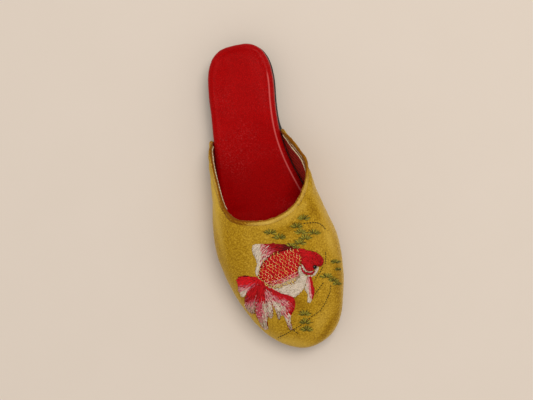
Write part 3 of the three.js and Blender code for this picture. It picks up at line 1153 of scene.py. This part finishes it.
def line_distance(pairs, x, y):
    """Distance from a point to the nearest of some line pieces."""
    best = 1e9
    for (ax, ay), (bx, by) in pairs:
        dx, dy = bx - ax, by - ay
        share = min(1, max(0, ((x - ax) * dx + (y - ay) * dy) / max(dx * dx + dy * dy, 1e-9)))
        best = min(best, math.hypot(x - ax - share * dx, y - ay - share * dy))
    return best


def layer_of_stitches(work, outline, heading, colour, look):
    """One layer of stitches over an outline."""
    (low_x, y), (high_x, high_y) = extent(outline)
    pitch = look["pitch"]
    line = 0
    while y < high_y:
        x = low_x + (pitch / 2 if line % 2 else 0)
        while x < high_x:
            px = x + work.random.uniform(-GRID_SHAKE, GRID_SHAKE) * pitch
            py = y + work.random.uniform(-GRID_SHAKE, GRID_SHAKE) * pitch
            x += pitch
            if not inside(outline, px, py):
                continue
            dx, dy = heading(px, py)
            scale = math.hypot(dx, dy) * work.random.choice((-1, 1)) + 1e-9
            dx, dy = dx / scale, dy / scale
            half_long = look["length"] / 2 * work.random.uniform(0.75, 1.25)
            ends = []
            for reach in (-half_long, half_long):
                end = (px + reach * dx, py + reach * dy)
                while abs(reach) > SHORTEST and not inside(outline, *end):
                    reach *= CUT_BACK
                    end = (px + reach * dx, py + reach * dy)
                ends.append(end)
            stray = work.random.normal(0, look["stray"])
            thread = colour(px + stray * dx, py + stray * dy)
            if "thread" in look:
                thread = "grey_white" if thread == "white" else look["thread"]
            rise = min(1, line_distance(corner_pairs(outline), px, py) / PAD_SLOPE)
            work.stitch(
                *ends, thread, look["width"], look["height"], look["tone"],
                look["pad"] * math.sin(rise * math.pi / 2) + look["lift"],
            )
        y += pitch * GRID_ROW
        line += 1


def fill(work, outline, heading, colour, under="deep_red", length=4.4, pad=0.5):
    """Covers an outline. heading gives a direction at a point, and colour a thread."""
    shared = {"length": length, "pad": pad}
    layer_of_stitches(work, outline, heading, colour, {**PADDING, **shared, "thread": under})
    layer_of_stitches(work, outline, heading, colour, {**COVER, **shared})


def seed_stitches(work, outline, wanted, threads, pitch=1.9):
    """Short stitches at all angles, which break up a plain part of a shape."""
    (low_x, low_y), (high_x, high_y) = extent(outline)
    for _ in range(int((high_x - low_x) * (high_y - low_y) / pitch**2)):
        x, y = work.random.uniform(low_x, high_x), work.random.uniform(low_y, high_y)
        if inside(outline, x, y) and wanted(x, y):
            angle = work.random.uniform(1.0, 2.2)
            dx, dy = 0.75 * math.cos(angle), 0.75 * math.sin(angle)
            thread = work.random.choice(threads)
            work.stitch((x - dx, y - dy), (x + dx, y + dy), thread, 0.62, 0.55, 0.25, 0.75)


def sew_line(work, points, thread, width, height, dash=3.0, cover=1.0, lift=0.0):
    """Stitches end to end along a line. cover is how much of each step the thread fills."""
    for start, end in zip(points, points[1:]):
        count = max(1, round(math.dist(start, end) / dash))
        for n in range(count):
            ends = [part_way(start, end, (n + share) / count) for share in (0, cover)]
            work.stitch(*ends, thread, width, height, LINE_TONE, lift)


def from_point(cx, cy):
    """Stitches that fan out from one point."""
    return lambda x, y: (x - cx, y - cy)


def around(cx, cy):
    """Stitches that run round one point."""
    return lambda x, y: (y - cy, cx - x)


def straight(dx, dy):
    return lambda x, y: (dx, dy)


def bands(key, *stops):
    """Thread names in order: each is used up to its limit of the key."""
    def pick(x, y):
        value = key(x, y)
        return next((thread for limit, thread in stops if value < limit), stops[-1][1])
    return pick


def by_y(x, y):
    return y


print("needle ready")

# %% [markdown]
# ## The goldfish
# A goldfish among waterweed is a common figure of such velvet slippers. It is stitched in
# parts, as a needleworker does. These are the outlines of the parts, in the draft's units,
# x to the right and y down.

# %% Outlines of the goldfish
BACK_FIN = [
    (212, 283.6), (208, 281.7), (200, 279.6), (190, 278.2), (180, 278.8), (172, 279),
    (168.5, 280.6), (167, 284.5), (168, 289), (170.5, 293), (172.2, 297), (172.4, 301),
    (171.2, 305), (171.2, 308.5), (173, 312), (174.2, 307), (175.8, 302), (178, 298),
    (181.5, 294), (185.5, 290.6), (190, 288), (196, 285.6), (203, 284.6),
]
BODY = [
    (214, 283), (208, 283.7), (200, 285.2), (190, 288.8), (184, 292.4), (178, 298),
    (175, 304), (173.4, 311), (176.5, 315.4), (181, 318.6), (186, 321.8), (190, 323.2),
    (195, 323.4), (200, 321.2), (206, 318.6), (210, 317), (213, 314), (215.2, 310),
    (213.2, 306), (214, 302), (216, 299), (217, 292), (216.4, 285),
]
BELLY = [
    (179, 318.4), (184, 320.8), (189, 322.8), (194, 323.4), (200, 321.4), (206, 318.8),
    (211, 316.2), (214.8, 312.2), (213.6, 306.5), (214.2, 302), (216.6, 300), (217.4, 305),
    (219.8, 309), (223.4, 311), (222.6, 315), (221.2, 319), (219.5, 323.6), (216, 327.6),
    (212, 331), (208.4, 332.4), (204, 330.3), (198, 329), (193, 326.6), (187, 324),
    (182, 321),
]
HEAD = [
    (212.8, 282.4), (219, 283.7), (224, 285.2), (230, 286.4), (234.2, 288.8), (237.6, 292),
    (239.2, 295.6), (238.3, 299), (236, 301.6), (232.6, 301), (230.2, 303.6), (228, 306.2),
    (224.6, 306.8), (221.2, 304.8), (219.2, 301), (216.6, 298.6), (215.6, 292), (213.8, 286),
]
CHEEK = [
    (219.6, 299), (221, 296.4), (224, 295.4), (227.2, 296.4), (228.6, 299), (228.4, 302.6),
    (226.6, 305.2), (223.8, 305.8), (221, 304), (219.6, 301.4),
]
GILL_WHITE = [
    (218.4, 298.2), (219, 301.2), (220.6, 304), (223.2, 305.7), (226, 305.9), (228.4, 305),
    (228.7, 306.3), (226.4, 307.3), (222.6, 307.1), (219.3, 305.1), (217.4, 302), (217, 299),
]
GILL_RED = [
    (216.9, 299.2), (217.4, 302.2), (219.2, 305.4), (222.4, 307.4), (226.4, 307.5), (229, 306.2),
    (230, 304.6), (231.1, 305.8), (229.7, 308.2), (227, 309.7), (223.2, 309.8), (219.4, 308.5),
    (216.7, 305.6), (215.3, 301.8), (215.6, 299.4),
]
CHIN = [
    (223.4, 310.1), (226.8, 310), (229.3, 308.4), (230.4, 305.8), (230.8, 303), (233.2, 301),
    (234.8, 302), (233.8, 305), (232.2, 307.8), (230, 310.1), (226.8, 311.7), (223.6, 311.6),
]
SIDE_FIN = [
    (223.8, 310.6), (226.6, 311.2), (227.8, 316), (229.2, 322), (230.2, 327), (229.3, 331),
    (227.8, 334.6), (225.6, 338.2), (223.4, 337.4), (224, 333), (223.8, 329.5), (221.5, 326.8),
    (220, 323.5), (221.5, 319), (222.4, 314.8),
]
TAIL_SIDE = [
    (178, 314.6), (172, 312.4), (165, 311.8), (157, 311.4), (153, 312.9), (151.4, 316),
    (152.4, 319), (153.5, 323), (153.2, 326), (155.2, 329.4), (157, 332.6), (160.4, 332.2),
    (162.4, 328), (166.6, 324), (172, 321), (178, 319),
]
TAIL_LEFT = [
    (177, 317), (171, 320.4), (166, 324.4), (162, 328.4), (160.3, 333), (160, 338),
    (161, 343), (163.4, 347), (166.8, 349), (170.2, 349.4), (170, 345), (169.8, 338),
    (171, 330), (174, 323),
]
TAIL_MIDDLE = [
    (177, 317), (173, 323.4), (170.8, 330), (170, 337), (170.8, 344), (171.4, 349),
    (173, 353.6), (175, 358), (178, 363), (180.5, 365.4), (184.4, 365.2), (182.6, 360),
    (183, 355), (184, 352), (183.4, 345), (181.8, 337), (180.6, 330), (180.6, 323),
]
TAIL_INNER = [
    (180, 321), (180.4, 330), (182, 337.5), (183.4, 345), (184, 352), (186.5, 353.6),
    (189, 352.4), (188.2, 346), (187, 341), (187.6, 338.4), (189, 341), (191, 346),
    (193, 350), (193.5, 354), (195.4, 355.4), (196, 351), (196.6, 345), (195, 340),
    (190.6, 334), (186.6, 328),
]
TAIL_RIGHT = [
    (177, 315.5), (182, 318.8), (186, 321.6), (190, 324.6), (196, 328.2), (201, 329.2),
    (206, 330.4), (209, 333), (210.6, 336), (210.4, 341), (209.2, 346), (207.2, 350.6),
    (205.7, 355), (207, 359), (208.2, 364.6), (206.4, 365.6), (204, 362), (202.4, 358),
    (200.6, 353), (199.5, 350.4), (196, 351), (195.4, 344), (193.6, 339), (190.3, 334),
    (186, 328), (180, 322),
]
TAIL_ROOT = (176, 313)
TAIL_TOP_EDGE = list(zip(TAIL_RIGHT[:11], TAIL_RIGHT[1:12]))
PINK_SCALES = [(184, 318.6), (194, 317), (200, 314.4), (205, 311.4), (210, 310.4), (214, 307.4)]
PINK_LINE = list(zip(PINK_SCALES, PINK_SCALES[1:]))
print("goldfish in 14 shapes, the body with", len(BODY), "corners")

# %% [markdown]
# ## Tail and fins
# The tail is a veil of five lobes. Its threads all fan out from the root, red first, then
# rose, and warm white at the ragged tips, where short seed stitches break up the plain
# threads. The back fin's threads follow the curve of the back instead.

# %% Tail and fins
tail = Stitcher(11)
fan = from_point(*TAIL_ROOT)


def middle_lobe(x, y):
    if y > 340 and x > 178.5:
        return tail.random.choice(("grey_white", "white", "pale_rose" if y < 352 else "grey_white"))
    if y < 337:
        return "dull_red" if 171.5 < x < 174.5 and y > 324 else "red"
    if y < 356:
        return "rose" if x < 178 else "pale_rose"
    return "grey_white"


# fire red on the left part of this lobe is a painted highlight
def side_lobe(x, y):
    if y < 320:
        return "fire_red" if x < 168 else "bright_red"
    return "rose" if y < 323 else "pale_rose" if y < 327 else "white"


def right_lobe(x, y):
    if y > 350:
        return "grey_white" if y > 357 else "white"
    return bands(
        lambda px, py: line_distance(TAIL_TOP_EDGE, px, py),
        (5.2, "red"), (7, "rose"), (9, "pale_rose"), (10.5, "rose"), (13, "white"),
        (99, "grey_white"),
    )(x, y)


def back_fin(x, y):
    if x < 176.5 or (x < 178.5 and y > 297):
        return "white"
    if x - (y - 283) * 0.55 < 181:
        return tail.random.choice(("pale_rose", "white", "rose"))
    if x - (y - 283) * 0.7 < 187:
        return tail.random.choice(("rose", "rose", "dull_red"))
    return "dull_red" if x < 195 else "deep_red"


for outline, heading, colour in (
    (TAIL_SIDE, fan, side_lobe),
    (TAIL_LEFT, fan, bands(by_y, (333, "red"), (336, "dull_red"), (339, "rose"), (343, "pale_rose"),
                           (999, "grey_white"))),
    (TAIL_MIDDLE, fan, middle_lobe),
    (TAIL_INNER, fan, bands(by_y, (326, "red"), (333, "pale_rose"), (336, "rose"), (346, "white"),
                            (999, "grey_white"))),
    (TAIL_RIGHT, fan, right_lobe),
    (BACK_FIN, around(197, 304), back_fin),
):
    fill(tail, outline, heading, colour)
VEIL_SEEDS = ("white", "grey_white", "deep_rose", "pale_rose")
for outline, wanted in (
    (TAIL_MIDDLE, lambda x, y: y > 336),
    (TAIL_INNER, lambda x, y: y > 332),
    (TAIL_RIGHT, lambda x, y: right_lobe(x, y) != "red"),
    (TAIL_LEFT, lambda x, y: y > 336),
):
    seed_stitches(tail, outline, wanted, VEIL_SEEDS)
VEIL_LINES = [
    [(172, 330), (170.6, 335), (170, 340), (170, 344)],
    [(181.6, 324), (183, 330), (185.4, 335), (187.4, 340), (188.8, 346)],
    [(186, 326.5), (191, 332), (195, 338), (197.4, 344)],
]
for line_points in VEIL_LINES:
    sew_line(tail, line_points, "pale_rose", 0.5, 0.5, lift=0.55)
sew_line(tail, TAIL_RIGHT[6:11], "red", 1.0, 0.6, lift=0.4)
tail.lay("embroidered_tail_and_fins")

# %% [markdown]
# ## Body, head and belly
# The body and the head are padded higher than the fins, so they stand out of the velvet like
# a small relief. The head is one bright red dome with a round cheek, painted brighter at its
# upper left as a highlight and duller along its right edge as shade. A white and a red arc
# round the cheek are the gill, and the belly and the chin are white.

# %% Body, head and belly
fish = Stitcher(17)


def body_colour(x, y):
    if line_distance(PINK_LINE, x, y) < 2.1:
        return fish.random.choice(("pale_rose", "rose", "dull_red"))
    return "grey_white" if y + (x - 180) * 0.3 > 320.5 else "red"


# painted light on the head: dull reds on the right edge as shade, bright red at the upper left as a
# highlight
def head_colour(x, y):
    if x > 234.5 - (y - 290) * 0.15:
        return fish.random.choice(("dull_red", "dull_red", "red"))
    return "bright_red" if x + y < 516 else "red"


def side_fin(x, y):
    edge = x - 225.4 - (y - 315) * 0.13
    if edge > 0 and y < 333:
        return "red"
    if y > 334:
        return "white"
    return "pale_rose" if edge > -2.2 or y < 317 else "white"


fill(fish, BELLY, straight(0.94, -0.34), lambda x, y: "white", "grey_white", length=4.6)
seed_stitches(fish, BELLY, lambda x, y: True, ("grey_white", "white"), 2.2)
fill(fish, BODY, straight(0.9, -0.43), body_colour, "dull_red", length=4.2, pad=0.65)
fill(fish, SIDE_FIN, from_point(224, 300), side_fin, "dull_red")
fill(fish, HEAD, around(216, 302), head_colour, "dull_red", length=3.0, pad=1.1)
fill(fish, CHEEK, around(224, 300.6), lambda x, y: "bright_red", length=2.6, pad=1.3)
fill(fish, GILL_RED, around(224, 300.6), lambda x, y: "crimson", length=2.4, pad=0.8)
fill(fish, GILL_WHITE, around(224, 300.6), lambda x, y: "white", "rose", length=2.4, pad=1.1)
fill(fish, CHIN, straight(0.7, -0.7), lambda x, y: "white", "grey_white", length=3, pad=0.7)
print("body, head and belly", len(fish.rows), "stitches")

# %% [markdown]
# ## Gold scales and the eye
# Each scale is an arc of gold stitches, open towards the head, in rows set off by half a
# scale. A hand does not repeat itself, so every arc is a little off. The eye is a black knot
# with a spark of white.

# %% Scales and eye
SCALE_STEP = 3.7
SCALE_ROW = 3.1
SCALE_LIFT = 0.9
BODY_AXIS = math.radians(-24)
BODY_MIDDLE = (196, 303)
EYE_PLACE = (230, 301.4)
EYE_LIFT = 1.8
EYE_HALF = 2.2

along_x, along_y = math.cos(BODY_AXIS), math.sin(BODY_AXIS)
for row in range(-8, 9):
    for column in range(-10, 11):
        u = (column + 0.5 * (row % 2)) * SCALE_STEP + fish.random.normal(0, 0.3)
        v = row * SCALE_ROW + fish.random.normal(0, 0.3)
        cx = BODY_MIDDLE[0] + u * along_x - v * along_y
        cy = BODY_MIDDLE[1] + u * along_y + v * along_x
        if not inside(BODY, cx, cy):
            continue
        size = fish.random.uniform(1.5, 2.1)
        arc = []
        for degrees in (100, 148, 205, 250):
            angle = BODY_AXIS + math.radians(degrees + fish.random.normal(0, 9))
            arc.append((cx + size * math.cos(angle), cy + size * math.sin(angle)))
        thread = fish.random.choice(("gold", "gold", "pale_gold"))
        shadow = [(x + 0.75 * along_x, y + 0.75 * along_y) for x, y in arc]
        sew_line(fish, shadow[:3], "deep_red", 0.85, 0.3, lift=SCALE_LIFT - 0.1)
        sew_line(fish, arc, thread, 0.5, 0.5, lift=SCALE_LIFT)

SEAM = [(181, 318.4), (187, 321), (194, 321.6), (201, 319), (208, 316), (213, 312.6)]
for start, end in zip(SEAM, SEAM[1:]):
    for share in (0.2, 0.6):
        cx, cy = part_way(start, end, share)
        arc = [(cx + 1.5 * math.cos(t), cy + 1.5 * math.sin(t)) for t in (1.2, 2.2, 3.2, 4.0)]
        sew_line(fish, arc, "gold", 0.58, 0.5, lift=SCALE_LIFT)

for step in range(7):
    angle = math.radians(step * 26)
    dx, dy = EYE_HALF * math.cos(angle), EYE_HALF * math.sin(angle)
    knot = [(EYE_PLACE[0] - dx, EYE_PLACE[1] - dy), (EYE_PLACE[0] + dx, EYE_PLACE[1] + dy)]
    fish.stitch(*knot, "black", 1.3, 1.1, 0, EYE_LIFT)
fish.stitch((229, 301.4), (229.3, 300.7), "grey_white", 0.36, 0.5, 0, EYE_LIFT + 0.7)
# deep red outlines along the head and the back: outline stitches that also paint the shadow at the
# raised edge
sew_line(fish, HEAD[2:9], "deep_red", 0.5, 0.5, lift=0.25)
sew_line(fish, BODY[:7], "deep_red", 0.5, 0.5, lift=0.45)
fish.lay("embroidered_goldfish")

# %% [markdown]
# ## Waterweed
# The weeds are small fans of green straight stitches, bright in the middle, with thin dark
# threads between and below. Their stems are running stitch, thread and gap in turn. Around
# the stitches lie a few short dark brown flecks: painted shade of the small creases that the
# needle pulls into the pile.

# %% Weeds and stems
WEED_FANS = [
    (186, 266, 1), (195, 270.8, 1), (212.5, 259.6, 1), (219, 251.6, 1), (216.6, 265.6, 1),
    (229.5, 266, 1), (221, 271.4, 1), (215.5, 276.2, 1), (206.5, 279.4, 0.8), (211.5, 282, 0.7),
    (251, 295.5, 0.75), (253.4, 303.4, 0.5), (242, 309.5, 1), (249, 313.8, 0.8),
    (252.6, 317.4, 0.7), (220.5, 347.5, 1), (221, 355.8, 1), (222.5, 363.2, 1),
]
STEMS = [
    [(246.4, 320), (245.6, 327.5), (243.6, 331.5), (241, 338), (236.6, 345), (231, 349.4),
     (223.6, 354.4), (219, 358.2), (215.4, 361.6), (208.5, 365), (203, 368.8), (197, 371.6),
     (193, 373.6)],
    [(208.5, 364.6), (211.4, 367.2), (214.5, 370)],
    [(219, 258.3), (225, 257.5), (230.5, 257.2), (235, 258.2), (239, 261), (241.6, 264.4)],
    [(239, 317.5), (236, 321.6), (233, 326), (230.4, 329.4)],
    [(238.6, 301.6), (235.2, 307.5), (230.6, 313.6)],
    [(241, 286.5), (241.6, 290.4), (241.2, 295), (240.8, 299.4)],
]
FLECKS = 4
FLECK_SPREAD = 2.2
WEED_SHORTEST = 4.6
WEED_LAYERS = [
    (np.linspace(-172, -8, 9), 6, 6.0, (0.8, 0.5), 1.3, ("leaf", "leaf", "olive"),
     (1.05, 0.6, 0.2, 0.25)),
    (np.linspace(-162, -18, 6), 8, 6.4, (0.6, 0.4), 1.35, ("moss", "ink_green"),
     (0.48, 0.5, 0.3, 0.5)),
]
weeds = Stitcher(23)
for cx, cy, scale in WEED_FANS:
    foot = (cx, cy + 2.6 * scale)
    for directions, shake, longest, root, spread, threads, look in WEED_LAYERS:
        for degrees in directions:
            angle = math.radians(degrees + weeds.random.uniform(-shake, shake))
            long = weeds.random.uniform(WEED_SHORTEST, longest) * scale
            start = (foot[0] + root[0] * math.cos(angle), foot[1] + root[1] * math.sin(angle))
            end = (foot[0] + long * math.cos(angle) * spread, foot[1] + long * math.sin(angle))
            weeds.stitch(start, end, weeds.random.choice(threads), *look)
    for side in (-1, 1):
        end = (foot[0] + side * 4.4 * scale, foot[1] + 0.9 * scale)
        weeds.stitch(foot, end, "moss", 0.4, 0.5, 0.3, 0.2)
for stem in STEMS:
    sew_line(weeds, stem, "ink_green", 0.8, 0.5, dash=2.6, cover=0.8)
# painted shade: brown flecks for the small creases around the stems
for x, y in sum(STEMS, []):
    for _ in range(FLECKS):
        dx, dy = weeds.random.normal(0, FLECK_SPREAD, 2)
        end = (x + dx + weeds.random.uniform(-1.2, 1.2), y + dy + 1)
        weeds.stitch((x + dx, y + dy), end, "brown", 0.4, 0.16, 0.3, -0.08)
weeds.lay("embroidered_waterweed")
